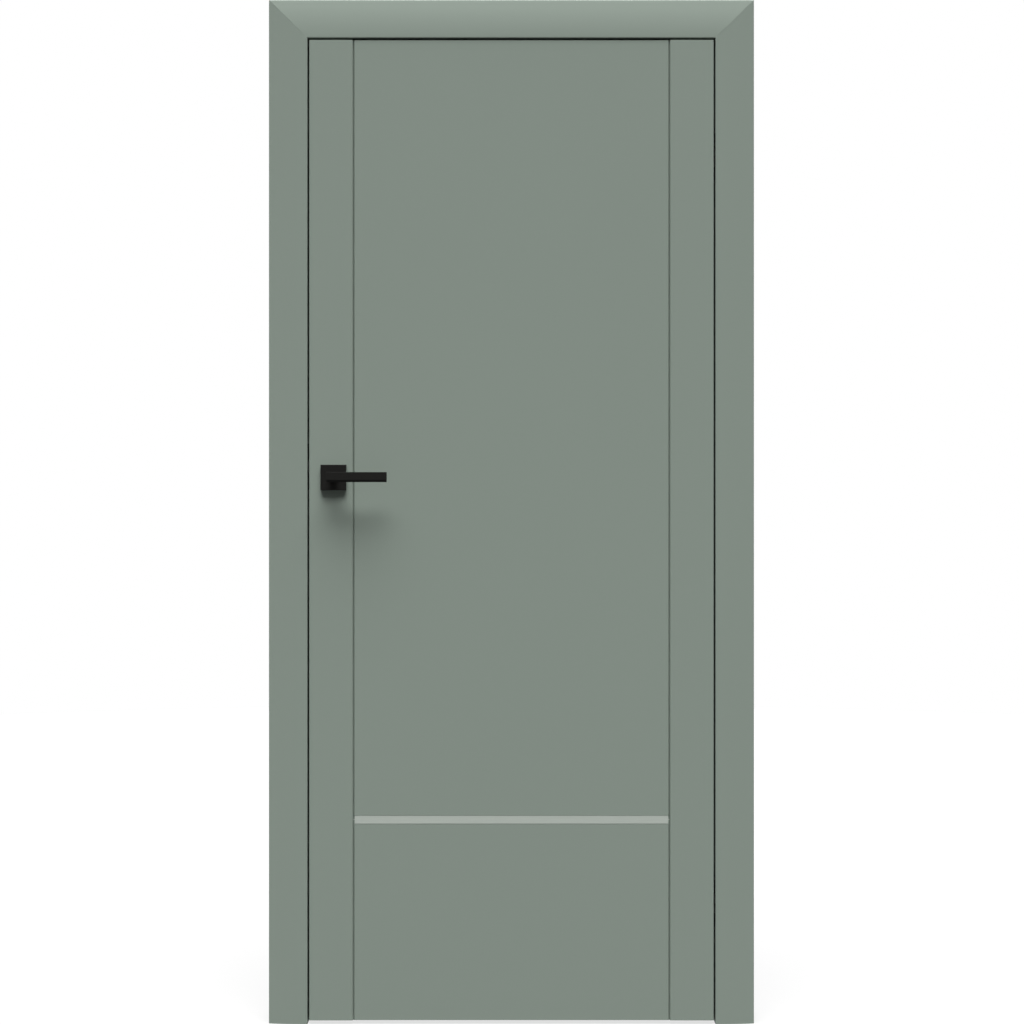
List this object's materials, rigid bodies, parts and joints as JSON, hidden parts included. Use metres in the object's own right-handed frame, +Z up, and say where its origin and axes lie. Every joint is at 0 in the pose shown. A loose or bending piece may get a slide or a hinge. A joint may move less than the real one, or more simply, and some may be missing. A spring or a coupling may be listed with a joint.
{
  "type": "interior door",
  "caption": "Flush sage-green interior door in a mitred frame with rounded casings, narrow aluminium strip, square-rose lever handle and concealed hinges.",
  "frame": {"origin": "on the floor, in the middle of the frame's width and of the assembly's depth", "axes": "+X to the hinge side, +Y away from the viewer through the wall, +Z up"},
  "size_m": [1.011, 0.198, 2.1332],
  "materials": {
    "sage_paint": "satin sage-green paint on board",
    "aluminium": "matt anodised",
    "seal_rubber": "soft matt",
    "black_metal": "matt black powder coat",
    "zinc_black": "black die-cast zinc",
    "steel": "zinc-plated",
    "latch_nylon": "black nylon",
    "beech": "bare beech"
  },
  "bodies": {
    "frame": {"front_casing_latch": "sage_paint", "front_casing_hinge": "sage_paint", "front_casing_head": "sage_paint", "rear_casing_latch": "sage_paint", "rear_casing_hinge": "sage_paint", "rear_casing_head": "sage_paint", "jamb_latch": "sage_paint", "jamb_hinge": "sage_paint", "jamb_head": "sage_paint", "seal_latch": "seal_rubber", "seal_hinge": "seal_rubber", "seal_head": "seal_rubber", "strike_plate": "black_metal", "strike_screws": "black_metal", "strike_box": "latch_nylon", "corner_dowels": "beech", "hinge_bottom_frame_housing": "zinc_black", "hinge_top_frame_housing": "zinc_black", "hinge_frame_pins": "steel", "hinge_frame_screws": "steel"},
    "leaf": {"stile_latch": "sage_paint", "stile_hinge": "sage_paint", "panel_upper": "sage_paint", "panel_lower": "sage_paint", "joining_strip": "aluminium", "rose_cover_front": "black_metal", "rose_cover_rear": "black_metal", "lock_faceplate": "black_metal", "lock_faceplate_screws": "black_metal", "hinge_bottom_leaf_housing": "zinc_black", "hinge_top_leaf_housing": "zinc_black", "hinge_leaf_pins": "steel", "hinge_leaf_screws": "steel", "lock_case": "steel", "lock_cover": "steel", "latch_spring": "steel", "rose_bolts": "steel", "rose_base_front": "steel", "rose_base_rear": "steel"},
    "frame_arms": {"hinge_bottom_frame_arm": "steel", "hinge_top_frame_arm": "steel", "hinge_centre_pins": "steel", "hinge_frame_arm_pins": "steel"},
    "leaf_arms": {"hinge_bottom_leaf_arm": "steel", "hinge_top_leaf_arm": "steel", "hinge_leaf_arm_pins": "steel"},
    "lever_set": {"lever_front": "black_metal", "lever_rear": "black_metal", "spindle": "steel", "grub_screws": "steel", "lock_follower": "steel"},
    "latch": {"latch_bolt": "latch_nylon"}
  },
  "joints": [
    {"name": "door_swing", "type": "hinge", "parent": "frame", "child": "leaf", "pos_m": [0.42275, -0.039, 1.028], "axis": [0, 0, 1], "range_deg": [0, 92]},
    {"name": "frame_arm_swing", "type": "hinge", "parent": "frame", "child": "frame_arms", "pos_m": [0.42825, -0.026, 1.028], "axis": [0, 0, 1], "range_deg": [0, 92]},
    {"name": "leaf_arm_swing", "type": "hinge", "parent": "leaf", "child": "leaf_arms", "pos_m": [0.41725, -0.026, 1.028], "axis": [0, 0, -1], "range_deg": [0, 92]},
    {"name": "lever_turn", "type": "hinge", "parent": "leaf", "child": "lever_set", "pos_m": [-0.37, -0.021, 1.1375], "axis": [0, 1, 0], "range_deg": [0, 40], "stiffness_Nm_per_rad": 1.5, "springref_deg": -28.65},
    {"name": "latch_draw", "type": "slide", "parent": "leaf", "child": "latch", "axis": [1, 0, 0], "range_m": [0, 0.0128], "deforming": ["latch_spring"]}
  ],
  "couplings": [
    {"joint": "frame_arm_swing", "follows": "door_swing", "ratio": 1},
    {"joint": "leaf_arm_swing", "follows": "door_swing", "ratio": 1},
    {"joint": "latch_draw", "follows": "lever_turn", "m_per_rad": 0.018335}
  ]
}
